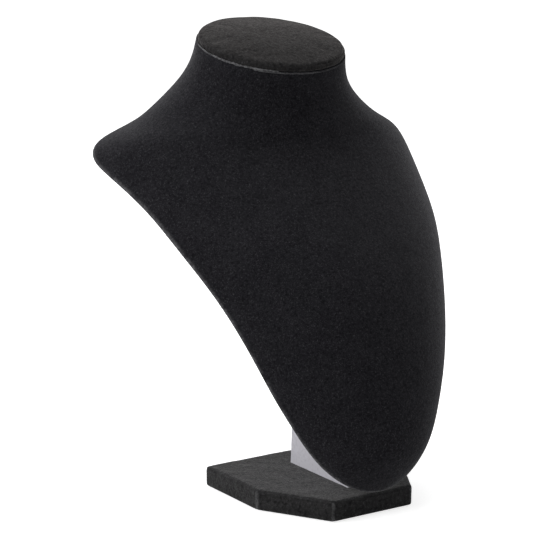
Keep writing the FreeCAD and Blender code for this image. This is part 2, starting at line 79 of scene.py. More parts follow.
def selectWhere(piece, kind, test):
    # edges or faces that pass a test of their middle and their direction or normal
    bpy.ops.mesh.select_mode(type=kind)
    bpy.ops.mesh.select_all(action="DESELECT")
    bpy.ops.object.mode_set(mode="OBJECT")
    mesh = piece.data
    if kind == "FACE":
        for face in mesh.polygons:
            face.select = test(face.center, face.normal)
    else:
        for edge in mesh.edges:
            first, last = [mesh.vertices[index].co for index in edge.vertices]
            edge.select = test((first + last) / 2, (last - first).normalized())
    bpy.ops.object.mode_set(mode="EDIT")


def closePiece():
    # joins doubles, points every face outwards and goes back to object mode
    bpy.ops.mesh.select_all(action="SELECT")
    bpy.ops.mesh.remove_doubles(threshold=joinReach)
    bpy.ops.mesh.normals_make_consistent(inside=False)
    bpy.ops.object.mode_set(mode="OBJECT")


def remeshEvenly(piece, size):
    piece.data.remesh_voxel_size = size
    piece.data.remesh_voxel_adaptivity = 0.0
    bpy.ops.object.voxel_remesh()


def applyModifier(piece, kind, **settings):
    makeActive(piece)
    modifier = piece.modifiers.new(kind.title(), kind)
    for label, value in settings.items():
        setattr(modifier, label, value)
    bpy.ops.object.modifier_apply(modifier=modifier.name)


def smoothFaces(piece, angle):
    makeActive(piece)
    bpy.ops.object.shade_smooth_by_angle(angle=math.radians(angle))


def copyOfNode(node, name):
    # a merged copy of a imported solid, so that its surface can be worked on
    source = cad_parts[node]
    piece = source.copy()
    piece.data = source.data.copy()
    piece.name = name
    piece.data.name = name
    for key in list(piece.keys()):
        del piece[key]
    bpy.context.scene.collection.objects.link(piece)
    piece.parent = None
    makeActive(piece)
    piece.data.materials.clear()
    bpy.ops.object.mode_set(mode="EDIT")
    bpy.ops.mesh.select_all(action="SELECT")
    bpy.ops.mesh.remove_doubles(threshold=joinReach)
    bpy.ops.object.mode_set(mode="OBJECT")
    return piece


def cutLongEdges(piece, longest, rounds, near):
    # divides the edges near a place that are too long for wear to be painted on
    makeActive(piece)
    for _ in range(rounds):
        bpy.ops.object.mode_set(mode="EDIT")
        bpy.ops.mesh.select_mode(type="EDGE")
        bpy.ops.mesh.select_all(action="DESELECT")
        bpy.ops.object.mode_set(mode="OBJECT")
        for edge in piece.data.edges:
            first, last = [piece.data.vertices[index].co for index in edge.vertices]
            edge.select = (first - last).length > longest and near((first + last) / 2)
        bpy.ops.object.mode_set(mode="EDIT")
        bpy.ops.mesh.subdivide(number_cuts=1)
        bpy.ops.mesh.select_all(action="SELECT")
        bpy.ops.mesh.quads_convert_to_tris()
        bpy.ops.object.mode_set(mode="OBJECT")


def paint(piece, rule):
    # the wear at each point of a piece, from 0 to 1, with the painted highlight along the seam
    # lips, kept in an attribute that its material reads
    values = [rule(vertex.co, vertex.normal) for vertex in piece.data.vertices]
    piece.data.attributes.new("wearAndHighlight", "FLOAT", "POINT").data.foreach_set("value", values)


def treeOf(points):
    tree = kdtree.KDTree(len(points))
    for index, point in enumerate(points):
        tree.insert(point, index)
    tree.balance()
    return tree


sharpValues = {
    "shortest": 0.1,             # edges shorter than this share of the radius are passed over
    "turn": 0.6,                 # in radians over one radius: more is sharp
    "neighbours": 8,             # with fewer sharp points round it, a point is a flaw of the mesh
}


def sharpPoints(mesh, radius):
    # points where the surface turns about as tightly as a radius
    turn = [0.0] * len(mesh.vertices)
    for edge in mesh.edges:
        first, last = [mesh.vertices[index] for index in edge.vertices]
        length = (first.co - last.co).length
        if length > sharpValues["shortest"] * radius:
            bend = first.normal.angle(last.normal, 0.0) / length
            turn[first.index] = max(turn[first.index], bend)
            turn[last.index] = max(turn[last.index], bend)
    points = [vertex.co.copy() for vertex, bend in zip(mesh.vertices, turn)
              if bend > sharpValues["turn"] / radius]
    tree = treeOf(points)
    return [point for point in points
            if len(tree.find_range(point, radius)) >= sharpValues["neighbours"]]


def pushOut(piece, rule):
    # moves each point along its normal by a rule of its place and normal
    moves = [vertex.normal * rule(vertex.co, vertex.normal) for vertex in piece.data.vertices]
    for vertex, move in zip(piece.data.vertices, moves):
        vertex.co += move


def finishPiece(piece, nodes, material):
    piece.data.materials.clear()
    piece.data.materials.append(material)
    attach(piece, "root")
    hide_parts(*nodes)


# Node helpers

def newGroup(name, inputs, outputs):
    tree = bpy.data.node_groups.new(name, "ShaderNodeTree")
    for label, value in inputs.items():
        socket = tree.interface.new_socket(label, in_out="INPUT", socket_type="NodeSocketFloat")
        socket.default_value = value
    for label in outputs:
        tree.interface.new_socket(label, in_out="OUTPUT", socket_type="NodeSocketFloat")
    return tree, tree.nodes.new("NodeGroupInput"), tree.nodes.new("NodeGroupOutput")


def addNode(tree, kind, settings=None, **values):
    node = tree.nodes.new(kind)
    for label, value in (settings or {}).items():
        setattr(node, label, value)
    for label, value in values.items():
        node.inputs[label.replace("_", " ")].default_value = value
    return node


def useGroup(tree, group, **values):
    return addNode(tree, "ShaderNodeGroup", {"node_tree": group}, **values)


def plug(tree, socket, value):
    if isinstance(value, bpy.types.NodeSocket):
        tree.links.new(value, socket)
    else:
        socket.default_value = value


def addMath(tree, operation, first, second, clamp=False):
    node = addNode(tree, "ShaderNodeMath", {"operation": operation, "use_clamp": clamp})
    plug(tree, node.inputs[0], first)
    plug(tree, node.inputs[1], second)
    return node.outputs[0]


def multiply(tree, first, second):
    return addMath(tree, "MULTIPLY", first, second)


def addNoise(tree, point, scale, detail, rough=0.5):
    node = addNode(tree, "ShaderNodeTexNoise", Detail=detail, Roughness=rough)
    tree.links.new(point, node.inputs["Vector"])
    plug(tree, node.inputs["Scale"], scale)
    return node.outputs["Fac"]


def addRange(tree, value, low, high, newLow=0.0, newHigh=1.0):
    node = addNode(tree, "ShaderNodeMapRange", {"clamp": True})
    settings = {"From Min": low, "From Max": high, "To Min": newLow, "To Max": newHigh}
    for label, setting in settings.items():
        plug(tree, node.inputs[label], setting)
    tree.links.new(value, node.inputs["Value"])
    return node.outputs["Result"]


def addMix(tree, factor, first, second):
    node = addNode(tree, "ShaderNodeMix", {"data_type": "RGBA"})
    plug(tree, node.inputs["Factor"], factor)
    colours = [socket for socket in node.inputs if socket.type == "RGBA"]
    plug(tree, colours[0], first)
    plug(tree, colours[1], second)
    return [socket for socket in node.outputs if socket.type == "RGBA"][0]


def addBump(tree, shader, height, strength, distance):
    bump = addNode(tree, "ShaderNodeBump", Strength=strength, Distance=distance)
    tree.links.new(height, bump.inputs["Height"])
    tree.links.new(bump.outputs["Normal"], shader.inputs["Normal"])


def objectPoint(tree):
    return addNode(tree, "ShaderNodeTexCoord").outputs["Object"]


def straightRays(tree):
    # 1 for what is seen directly, in a gloss or through glass, 0 for what only lights
    seen = addNode(tree, "ShaderNodeLightPath").outputs
    direct = addMath(tree, "MAXIMUM", seen["Is Camera Ray"], seen["Is Glossy Ray"])
    return addMath(tree, "MAXIMUM", direct, seen["Is Transmission Ray"])


# Node groups that more than one material uses

pileValues = {
    "fibreDetail": 2.0,
    "fibreRough": 0.7,
    "clumpShare": 0.45,          # scale of the clumps, as a share of the fibres'
    "clumpDetail": 2.0,
    "clumpRough": 0.6,
    "mottleDetail": 5.0,
    "mottleRough": 0.62,
    "fibreRange": (0.52, 0.74),  # from no speck to a full one
    "clumpRange": (0.34, 0.66),
    "pitRange": (0.5, 0.3),
    "mottleRange": (0.32, 0.68),
    "fibreHeight": 0.6,
    "clumpHeight": 0.4,
}


def makePileGroup():
    # short standing pile: light specks of fibre tips as painted highlights, dark pits as painted
    # shade between the clumps, soft mottling and a height
    values = pileValues
    tree, start, end = newGroup(
        "pile",
        {"Fibre Scale": 1100.0, "Mottle Scale": 55.0},
        ("Specks", "Pits", "Mottle", "Height"))
    point = objectPoint(tree)
    fibreScale, mottleScale = start.outputs["Fibre Scale"], start.outputs["Mottle Scale"]
    clumpScale = multiply(tree, fibreScale, values["clumpShare"])
    fibres = addNoise(tree, point, fibreScale, values["fibreDetail"], values["fibreRough"])
    clumps = addNoise(tree, point, clumpScale, values["clumpDetail"], values["clumpRough"])
    mottle = addNoise(tree, point, mottleScale, values["mottleDetail"], values["mottleRough"])
    lit = addRange(tree, fibres, *values["fibreRange"])
    full = addRange(tree, clumps, *values["clumpRange"])
    tree.links.new(multiply(tree, lit, full), end.inputs["Specks"])
    tree.links.new(addRange(tree, clumps, *values["pitRange"]), end.inputs["Pits"])
    tree.links.new(addRange(tree, mottle, *values["mottleRange"]), end.inputs["Mottle"])
    fine = multiply(tree, fibres, values["fibreHeight"])
    coarse = multiply(tree, clumps, values["clumpHeight"])
    tree.links.new(addMath(tree, "ADD", fine, coarse), end.inputs["Height"])
    return tree


maskBreakupValues = {
    "grainScale": 700.0,
    "grainDetail": 3.0,
    "grainRough": 0.65,
    "grainRange": (0.32, 0.62),
    "grainLeast": 0.2,
    "patchScale": 110.0,
    "patchDetail": 2.0,
    "patchRange": (0.3, 0.6),
    "patchLeast": 0.3,
}


def makeWearAndHighlightGroup():
    # rubbed edges, and the painted highlight along the seam lips: the painted mask, broken up like
    # crushed and frayed pile
    values = maskBreakupValues
    tree, _, end = newGroup("wearAndHighlightMask", {}, ("Mask",))
    wearAndHighlight = addNode(tree, "ShaderNodeAttribute", {"attribute_name": "wearAndHighlight"}).outputs["Fac"]
    point = objectPoint(tree)
    grain = addNoise(tree, point, values["grainScale"], values["grainDetail"], values["grainRough"])
    patches = addNoise(tree, point, values["patchScale"], values["patchDetail"])
    broken = multiply(
        tree,
        addRange(tree, grain, *values["grainRange"], values["grainLeast"]),
        addRange(tree, patches, *values["patchRange"], values["patchLeast"]))
    tree.links.new(addMath(tree, "MULTIPLY", wearAndHighlight, broken, True), end.inputs["Mask"])
    return tree


pileGroup = makePileGroup()
wearAndHighlightGroup = makeWearAndHighlightGroup()


# Materials

def newMaterial(name):
    material = bpy.data.materials.new(name)
    material.use_nodes = True
    tree = material.node_tree
    return material, tree, tree.nodes["Principled BSDF"]


def usePile(tree, values):
    scales = {"Fibre_Scale": values["fibreScale"], "Mottle_Scale": values["mottleScale"]}
    return useGroup(tree, pileGroup, **scales).outputs


velvetValues = {
    "deep": (0.0105, 0.0102, 0.0122, 1.0),      # where the pile stands
    "lying": (0.0150, 0.0146, 0.0170, 1.0),     # where it lies over
    "pit": (0.0040, 0.0040, 0.0048, 1.0),       # painted shade between the clumps
    "speck": (0.105, 0.105, 0.112, 1.0),        # fibre tips that catch the light
    "wornAndHighlight": (0.16, 0.16, 0.165, 1.0),           # rubbed edges, and the painted highlight along the seam lips
    "speckShare": 0.45,
    "pitShare": 0.6,
    "fibreScale": 1250.0,
    "mottleScale": 55.0,
    "sheen": 0.19,
    "sheenRoughness": 0.42,
    "sheenGrain": 0.3,                          # how much the sheen varies with the pile
    "sheenRange": (0.4, 0.6),                   # heights of the pile with least and most sheen
    "sheenTint": (0.97, 0.96, 1.0, 1.0),
    "bump": 0.4,
    "bumpDepth": 0.4 * mm,
}


def makeVelvet(name, **changes):
    values = dict(velvetValues, **changes)
    material, tree, shader = newMaterial(name)
    pile = usePile(tree, values)
    wearAndHighlightMask = useGroup(tree, wearAndHighlightGroup).outputs["Mask"]
    ground = addMix(tree, pile["Mottle"], values["deep"], values["lying"])
    # painted shade in the pits between the clumps, and painted highlights on the fibre tips
    pits = multiply(tree, pile["Pits"], values["pitShare"])
    specks = multiply(tree, pile["Specks"], values["speckShare"])
    pitted = addMix(tree, pits, ground, values["pit"])
    specked = addMix(tree, specks, pitted, values["speck"])
    colour = addMix(tree, wearAndHighlightMask, specked, values["wornAndHighlight"])
    tree.links.new(colour, shader.inputs["Base Color"])
    shader.inputs["Roughness"].default_value = 1.0
    shader.inputs["Specular IOR Level"].default_value = 0.0
    least = values["sheen"] * (1.0 - values["sheenGrain"])
    most = values["sheen"] * (1.0 + values["sheenGrain"])
    sheen = addRange(tree, pile["Height"], *values["sheenRange"], least, most)
    tree.links.new(sheen, shader.inputs["Sheen Weight"])
    shader.inputs["Sheen Roughness"].default_value = values["sheenRoughness"]
    shader.inputs["Sheen Tint"].default_value = values["sheenTint"]
    addBump(tree, shader, pile["Height"], values["bump"], values["bumpDepth"])
    return material


feltValues = {
    "pitShare": 0.6,
    "speckShare": 0.7,
    "mottleShare": 0.35,
    "fibreScale": 900.0,
    "mottleScale": 40.0,
    "gloss": 0.1,
    "sheen": 0.1,
    "bump": 0.35,
    "bumpDepth": 0.3 * mm,
}


def makeFelt(name, deep, light, speck, wornAndHighlight):
    values = feltValues
    material, tree, shader = newMaterial(name)
    pile = usePile(tree, values)
    wearAndHighlightMask = useGroup(tree, wearAndHighlightGroup).outputs["Mask"]
    # painted shade in the pits between the clumps, and painted highlights on the fibre tips
    pits = multiply(tree, pile["Pits"], values["pitShare"])
    specks = multiply(tree, pile["Specks"], values["speckShare"])
    mottle = multiply(tree, pile["Mottle"], values["mottleShare"])
    specked = addMix(tree, specks, addMix(tree, pits, light, deep), speck)
    mottled = addMix(tree, mottle, specked, deep)
    tree.links.new(addMix(tree, wearAndHighlightMask, mottled, wornAndHighlight), shader.inputs["Base Color"])
    shader.inputs["Roughness"].default_value = 1.0
    shader.inputs["Specular IOR Level"].default_value = values["gloss"]
    shader.inputs["Sheen Weight"].default_value = values["sheen"]
    addBump(tree, shader, pile["Height"], values["bump"], values["bumpDepth"])
    return material


grainedValues = {
    # cut board: fine chips in a plain brown ground
    "fibre board": {
        "scale": 900.0, "detail": 4.0, "rough": 0.7,
        "dark": (0.22, 0.14, 0.08, 1.0), "light": (0.36, 0.25, 0.16, 1.0),
        "colourRange": (0.35, 0.65), "roughness": (0.75, 0.92),
        "bump": 0.2, "bumpDepth": 0.2 * mm, "metallic": 0.0,
    },
    # dark, matt and faintly orange-peeled
    "moulded shell": {
        "scale": 350.0, "detail": 2.0, "rough": 0.5,
        "dark": (0.02, 0.02, 0.021, 1.0), "light": (0.035, 0.035, 0.036, 1.0),
        "colourRange": (0.0, 1.0), "roughness": (0.45, 0.6),
        "bump": 0.1, "bumpDepth": 0.2 * mm, "metallic": 0.0,
    },
    "zinc plated steel": {
        "scale": 1200.0, "detail": 3.0, "rough": 0.5,
        "dark": (0.42, 0.42, 0.43, 1.0), "light": (0.6, 0.6, 0.61, 1.0),
        "colourRange": (0.0, 1.0), "roughness": (0.3, 0.45),
        "bump": 0.0, "bumpDepth": 0.0, "metallic": 1.0,
    },
}
roughRange = (0.3, 0.7)          # of the grain, from least rough to most


def makeGrained(name):
    # a hard material whose colour, roughness and height follow one fine grain
    values = grainedValues[name]
    material, tree, shader = newMaterial(name)
    grain = addNoise(tree, objectPoint(tree), values["scale"], values["detail"], values["rough"])
    shade = addRange(tree, grain, *values["colourRange"])
    colour = addMix(tree, shade, values["dark"], values["light"])
    tree.links.new(colour, shader.inputs["Base Color"])
    rough = addRange(tree, grain, *roughRange, *values["roughness"])
    tree.links.new(rough, shader.inputs["Roughness"])
    shader.inputs["Metallic"].default_value = values["metallic"]
    if values["bump"]:
        addBump(tree, shader, grain, values["bump"], values["bumpDepth"])
    return material


foamValues = {
    "cellScale": 900.0,
    "cell": (0.3, 0.3, 0.28, 1.0),
    "wall": (0.6, 0.6, 0.56, 1.0),
    "roughness": 0.95,
    "bump": 0.5,
    "bumpDepth": 0.4 * mm,
}


def makeFoam(name):
    material, tree, shader = newMaterial(name)
    cells = addNode(tree, "ShaderNodeTexVoronoi", Scale=foamValues["cellScale"])
    tree.links.new(objectPoint(tree), cells.inputs["Vector"])
    height = cells.outputs["Distance"]
    colour = addMix(tree, height, foamValues["cell"], foamValues["wall"])
    tree.links.new(colour, shader.inputs["Base Color"])
    shader.inputs["Roughness"].default_value = foamValues["roughness"]
    addBump(tree, shader, height, foamValues["bump"], foamValues["bumpDepth"])
    return material


print("materials")
bustVelvet = makeVelvet("bust velvet")
capVelvet = makeVelvet(
    "cap velvet",
    deep=(0.0145, 0.0140, 0.0142, 1.0),
    lying=(0.0235, 0.0227, 0.0229, 1.0),
    sheenTint=(1.0, 0.95, 0.93, 1.0),
    fibreScale=900.0,
    bump=0.8,
    bumpDepth=0.45 * mm)
baseVelvet = makeVelvet(
    "base velvet",
    deep=(0.017, 0.0166, 0.0172, 1.0),
    lying=(0.029, 0.0285, 0.029, 1.0),
    speckShare=0.42,
    sheen=0.3,
    sheenTint=(1.0, 0.99, 0.99, 1.0),
    fibreScale=900.0,
    mottleScale=90.0,
    bump=0.8,
    bumpDepth=0.45 * mm)
greyFelt = makeFelt(
    "grey felt",
    deep=(0.52, 0.51, 0.55, 1.0),
    light=(0.65, 0.64, 0.69, 1.0),
    speck=(0.75, 0.74, 0.79, 1.0),
    wornAndHighlight=(0.72, 0.71, 0.76, 1.0))
blackFelt = makeFelt(
    "black felt",
    deep=(0.010, 0.010, 0.011, 1.0),
    light=(0.020, 0.020, 0.022, 1.0),
    speck=(0.05, 0.05, 0.052, 1.0),
    wornAndHighlight=(0.06, 0.06, 0.062, 1.0))
fibreBoard = makeGrained("fibre board")
moulding = makeGrained("moulded shell")
foam = makeFoam("foam")
steel = makeGrained("zinc plated steel")

nodeMaterials = {
    "bust_cover": bustVelvet,
    "bust_shell": moulding,
    "back_panel": fibreBoard,
    "back_cover": bustVelvet,
    "back_screws": steel,
    "neck_cap_cover": capVelvet,
    "neck_cap_pad": foam,
    "neck_cap_board": fibreBoard,
    "upright_board": fibreBoard,
    "upright_cover": greyFelt,
    "base_board": fibreBoard,
    "base_cover": baseVelvet,
    "base_liner": blackFelt,
    "base_screws": steel,
}
for node, material in nodeMaterials.items():
    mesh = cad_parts[node].data
    mesh.materials.clear()
    mesh.materials.append(material)


# The seam between neck and cap: a plane that is tipped up towards the back

seamValues = {
    "reach": 65.8 * mm,
    "rise": 302 * mm,
    "tilt": 18,                  # degrees
    "halfWidth": 54 * mm,
    "halfDepth": 45 * mm,
}
seamMatrix = (Matrix.Translation((0, seamValues["reach"], seamValues["rise"]))
              @ Matrix.Rotation(math.radians(seamValues["tilt"]), 4, "X"))
seamInverse = seamMatrix.inverted()


def placeOnSeam(piece):
    # a piece that was modelled flat, about the origin, goes to the neck
    piece.data.transform(seamMatrix)
    piece.data.update()


def seamAngle(point):
    # the way round the seam, in degrees from the right hand side
    across, along = point.x / seamValues["halfWidth"], point.y / seamValues["halfDepth"]
    return math.degrees(math.atan2(along, across)) % 360


# Bust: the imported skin, finer along its rim, where the pile is rubbed

bustValues = {
    "awayFromSeam": 4 * mm,      # the edge at the seam isn't part of the rim
    "rimRadius": 1.8 * mm,
    "rimWear": 0.65,
    "rimReach": 2.4 * mm,
    "fineEdge": 1.6 * mm,
    "fineReach": 2,              # the finer strip's reach, over the wear's
    "fineRounds": 3,
    "backWear": 0.2,             # share of the wear on what faces the back
    "backTurn": (-0.15, 0.3),    # of the normal, from full wear to that share
    "smoothAngle": 40,
}


def makeBust(material):
    values = bustValues
    piece = copyOfNode("bust_cover", "bust_velvet")
    rim = treeOf([point for point in sharpPoints(piece.data, values["rimRadius"])
                  if (seamInverse @ point).z < -values["awayFromSeam"]])
    reach = values["rimReach"]

    def nearRim(middle):
        return rim.find(middle)[2] < values["fineReach"] * reach

    def wearAndHighlight(point, normal):
        turned = smoothStep(*values["backTurn"], normal.y)
        facing = 1.0 - (1.0 - values["backWear"]) * turned
        return values["rimWear"] * facing * (1.0 - smoothStep(0.0, reach, rim.find(point)[2]))

    cutLongEdges(piece, values["fineEdge"], values["fineRounds"], nearRim)
    paint(piece, wearAndHighlight)
    smoothFaces(piece, values["smoothAngle"])
    finishPiece(piece, ["bust_cover"], material)


# Padded cap: a low slab that cloth pressure swells, held at the seam

capValues = {
    "around": 128,               # corners of the slab's outline
    "tall": 6.1 * mm,
    "topRound": 3.2 * mm,
    "topSteps": 5,
    "voxel": 1.5 * mm,
    "held": 0.9 * mm,            # what lies this low is held
    "pressure": 6.0,
    "stretch": 40.0,
    "bending": 4.0,
    "mass": 0.2,
    "quality": 6,
    "frames": 20,
    "mostRise": 4.5 * mm,
    "smoothing": (0.5, 16),      # strength and rounds
    "creaseFrom": (262, 285),    # degrees round the seam over which the crease begins
    "creaseTo": (335, 355),      # and ends
    "creaseRise": 4.4 * mm,
    "creaseHalf": 1.1 * mm,
    "creaseDeep": 0.9 * mm,
    "ruffle": 0.12 * mm,
    "ruffleScale": 90.0,
    "fill": 0.9,
}


def swell(piece, values):
    group = piece.vertex_groups.new(name="held")
    low = [vertex.index for vertex in piece.data.vertices if vertex.co.z < values["held"]]
    group.add(low, 1.0, "REPLACE")
    before = [vertex.co.copy() for vertex in piece.data.vertices]
    makeActive(piece)
    cloth = piece.modifiers.new("Cloth", "CLOTH")
    settings = cloth.settings
    settings.quality = values["quality"]
    settings.mass = values["mass"]
    settings.tension_stiffness = values["stretch"]
    settings.compression_stiffness = values["stretch"]
    settings.bending_stiffness = values["bending"]
    settings.vertex_group_mass = "held"
    settings.use_pressure = True
    settings.uniform_pressure_force = values["pressure"]
    settings.effector_weights.gravity = 0.0
    cloth.point_cache.frame_start = 1
    cloth.point_cache.frame_end = values["frames"]
    for number in range(1, values["frames"] + 1):
        bpy.context.scene.frame_set(number)
    bpy.ops.object.modifier_apply(modifier=cloth.name)
    bpy.context.scene.frame_set(1)
    piece.vertex_groups.clear()
    most = 0.0
    for vertex, start in zip(piece.data.vertices, before):
        shift = vertex.co - start
        most = max(most, shift.length)
        if shift.length > values["mostRise"]:
            vertex.co = start + shift * (values["mostRise"] / shift.length)
    print("cap swelled by at most %.2f mm" % (most / mm))


def creaseAndRuffle(point, normal):
    # the shadow line where the cap's top hangs over its side at the front right, and unevenness
    values = capValues
    angle = seamAngle(point)
    share = smoothStep(*values["creaseFrom"], angle)
    share *= 1.0 - smoothStep(*values["creaseTo"], angle)
    across = abs(point.z - values["creaseRise"]) / values["creaseHalf"]
    crease = share * math.hypot(normal.x, normal.y) * (1.0 - smoothStep(0.0, 1.0, across))
    ruffle = noise.noise(point * values["ruffleScale"])
    return values["ruffle"] * ruffle - values["creaseDeep"] * crease


def makeCap(material):
    values = capValues
    size = (seamValues["halfWidth"], seamValues["halfDepth"], 1)
    deselectAll()
    bpy.ops.mesh.primitive_circle_add(
        vertices=values["around"], radius=1.0, fill_type="NGON", location=(0, 0, 0))
    piece = startPiece("neck_cap_padded")
    bpy.ops.transform.resize(value=size)
    bpy.ops.mesh.extrude_region_move(TRANSFORM_OT_translate={"value": (0, 0, values["tall"])})
    selectWhere(piece, "EDGE", lambda middle, way: middle.z > values["tall"] - nearly)
    bpy.ops.mesh.bevel(offset=values["topRound"], segments=values["topSteps"], affect="EDGES")
    closePiece()
    remeshEvenly(piece, values["voxel"])
    swell(piece, values)
    strength, rounds = values["smoothing"]
    applyModifier(piece, "SMOOTH", factor=strength, iterations=rounds)
    applyModifier(piece, "SUBSURF", levels=1, render_levels=1)
    pushOut(piece, creaseAndRuffle)
    reach = [max(vertex.co[axis] for vertex in piece.data.vertices) / mm for axis in range(3)]
    print("cap half width %.2f mm, half depth %.2f, top %.2f" % tuple(reach))
    placeOnSeam(piece)
    paint(piece, lambda point, normal: 0.0)
    smoothFaces(piece, softAngle)
    finishPiece(piece, ["neck_cap_cover", "neck_cap_pad"], material)


# Lips of cloth along the seam: the neck's turned edge on the left, and the cap's lap on the right.
# Angles are degrees round the seam.

lipValues = {
    "around": 480,
    "section": 10,
    "thick": 0.5 * mm,
    "taper": 0.05,               # share of the length over which an end thins
    "taperDepth": 0.6,
    "frayFrom": (175, 195),
    "frayTo": (300, 320),
    "frayScale": 700.0,
    "frayLift": 0.3,
    "wander": 0.2 * mm,
    "wanderScale": 160.0,
    "leastWear": 0.12,
}
lips = {
    # each lip carries a painted highlight, lightest on the left and front-left where the light
    # falls, over a little real wear all round
    "seam_lip_left": {
        "first": 95, "last": 247, "out": 0.15 * mm, "lift": 0.3 * mm, "fray": 0.5 * mm,
        "wearAndHighlight": 1.0, "highlightAngles": (150, 176), "highlightEnds": (0.0, 1.0),
    },
    "seam_lip_right": {
        "first": 229, "last": 455, "out": 0.2 * mm, "lift": -0.6 * mm, "fray": 0.25 * mm,
        "wearAndHighlight": 0.5, "highlightAngles": (262, 325), "highlightEnds": (1.0, 0.2),
    },
}


def makeLip(name, material):
    values = dict(lipValues, **lips[name])
    wide, deep = seamValues["halfWidth"] + values["out"], seamValues["halfDepth"] + values["out"]
    thick = values["thick"]
    deselectAll()
    bpy.ops.mesh.primitive_torus_add(
        major_segments=values["around"], minor_segments=values["section"],
        major_radius=1.0, minor_radius=thick / wide, location=(0, 0, 0))
    piece = startPiece(name)
    bpy.ops.transform.resize(value=(wide, deep, wide))

    def along(point):
        # 0 at the first end, 1 at the last
        return ((seamAngle(point) - values["first"]) % 360) / (values["last"] - values["first"])

    def roughen(point, normal):
        part = min(1.0, along(point))
        taper = values["taper"]
        full = smoothStep(0.0, taper, part) * (1.0 - smoothStep(1.0 - taper, 1.0, part))
        angle = seamAngle(point)
        shown = smoothStep(*values["frayFrom"], angle)
        shown *= 1.0 - smoothStep(*values["frayTo"], angle)
        grain = values["frayLift"] + noise.noise(point * values["frayScale"])
        return values["fray"] * shown * grain - thick * values["taperDepth"] * (1.0 - full)

    # painted highlight: lighter on the left and front-left where the light falls, fading towards
    # the back and the right; leastWear is the real wear all round
    def wearAndHighlight(point, normal):
        start, end = values["highlightEnds"]
        part = smoothStep(*values["highlightAngles"], seamAngle(seamInverse @ point))
        return values["wearAndHighlight"] * max(values["leastWear"], start + (end - start) * part)

    selectWhere(piece, "FACE", lambda middle, normal: along(middle) > 1.0)
    bpy.ops.mesh.delete(type="FACE")
    bpy.ops.mesh.select_all(action="SELECT")
    bpy.ops.mesh.fill_holes(sides=0)
    closePiece()
    pushOut(piece, roughen)
    for vertex in piece.data.vertices:
        wander = noise.noise(vertex.co * values["wanderScale"])
        vertex.co.z += values["lift"] + values["wander"] * wander
    placeOnSeam(piece)
    paint(piece, wearAndHighlight)
    smoothFaces(piece, softAngle)
    finishPiece(piece, [], material)


# Base: a board wrapped in velvet, its corners folded and rubbed light

baseValues = {
    "low": 0.6 * mm,
    "high": 14.6 * mm,
    "halfWidth": 61 * mm,
    "halfDepth": 57 * mm,
    "frontHalf": 32.5 * mm,
    "bevelDepth": 48.5 * mm,
    "cornerRound": (2.2 * mm, 4),       # radius and steps
    "topRound": (1.9 * mm, 5),
    "lowRound": (0.9 * mm, 3),
    "hem": 14 * mm,
    "cloth": 0.9 * mm,
    "voxel": 1.25 * mm,
    "smoothing": (0.4, 3),              # strength and rounds
    "ruffle": 0.22 * mm,
    "ruffleScale": 120.0,
    "ruffleRise": 2 * mm,               # height over which the ruffle sets in
    "cornerRidge": 0.4 * mm,
    "ridgeSpan": (0.6 * mm, 2.0 * mm),
    "ridgeEnds": 0.7,                   # share of the half height that has the full ridge
    "ridgeScale": 600.0,
    "ridgeLift": 0.6,
    "cornerWear": 0.85,
    "cornerSpan": (0.6 * mm, 1.5 * mm),
    "cornerScale": 330.0,
    "cornerMiddle": 0.7,
    "cornerSwing": 1.1,
    "cornerLeast": 0.15,
    "topWear": 0.16,
    "topSpan": (0.2 * mm, 1.8 * mm),
    "topTurn": (0.3, 0.7),              # of the normal, from no wear to full wear
    "lowWear": 0.35,
    "lowSpan": (0.3 * mm, 1.3 * mm),
}


def cornersOfBase():
    values = baseValues
    wide, deep = values["halfWidth"], values["halfDepth"]
    right = [(values["frontHalf"], -deep), (wide, values["bevelDepth"] - deep), (wide, deep)]
    return [Vector(corner) for corner in right] + [Vector((-x, y)) for x, y in reversed(right)]


baseCorners = cornersOfBase()


def edgeDistance(point):
    # how far a point lies from the outline of the base's plan
    nearest = 1.0
    for corner, following in zip(baseCorners, baseCorners[1:] + baseCorners[:1]):
        way = (following - corner).normalized()
        share = min((following - corner).length, max(0.0, (point.xy - corner).dot(way)))
        nearest = min(nearest, (point.xy - corner - way * share).length)
    return nearest


def cornerDistance(point):
    return min((point.xy - corner).length for corner in baseCorners)


def ridgeAndRuffle(point, normal):
    # the folded cloth stands out at the corners, and the rest is uneven
    values = baseValues
    middle, half = (values["low"] + values["high"]) / 2, (values["high"] - values["low"]) / 2
    ridge = 1.0 - smoothStep(*values["ridgeSpan"], cornerDistance(point))
    inner = 1.0 - smoothStep(values["ridgeEnds"] * half, half, abs(point.z - middle))
    grain = values["ridgeLift"] + noise.noise(point * values["ridgeScale"])
    ruffle = noise.noise(point * values["ruffleScale"])
    ruffle *= smoothStep(values["low"], values["low"] + values["ruffleRise"], point.z)
    return values["cornerRidge"] * ridge * inner * grain + values["ruffle"] * ruffle


def baseWear(point, normal):
    values = baseValues
    swing = values["cornerSwing"] * noise.noise(point * values["cornerScale"])
    corner = 1.0 - smoothStep(*values["cornerSpan"], cornerDistance(point))
    corner *= min(1.0, max(values["cornerLeast"], values["cornerMiddle"] + swing))
    top = 1.0 - smoothStep(*values["topSpan"], edgeDistance(point))
    top *= smoothStep(*values["topTurn"], normal.z)
    start, end = values["lowSpan"]
    low = 1.0 - smoothStep(values["low"] + start, values["low"] + end, point.z)
    return max(values["cornerWear"] * corner, values["topWear"] * top, values["lowWear"] * low)


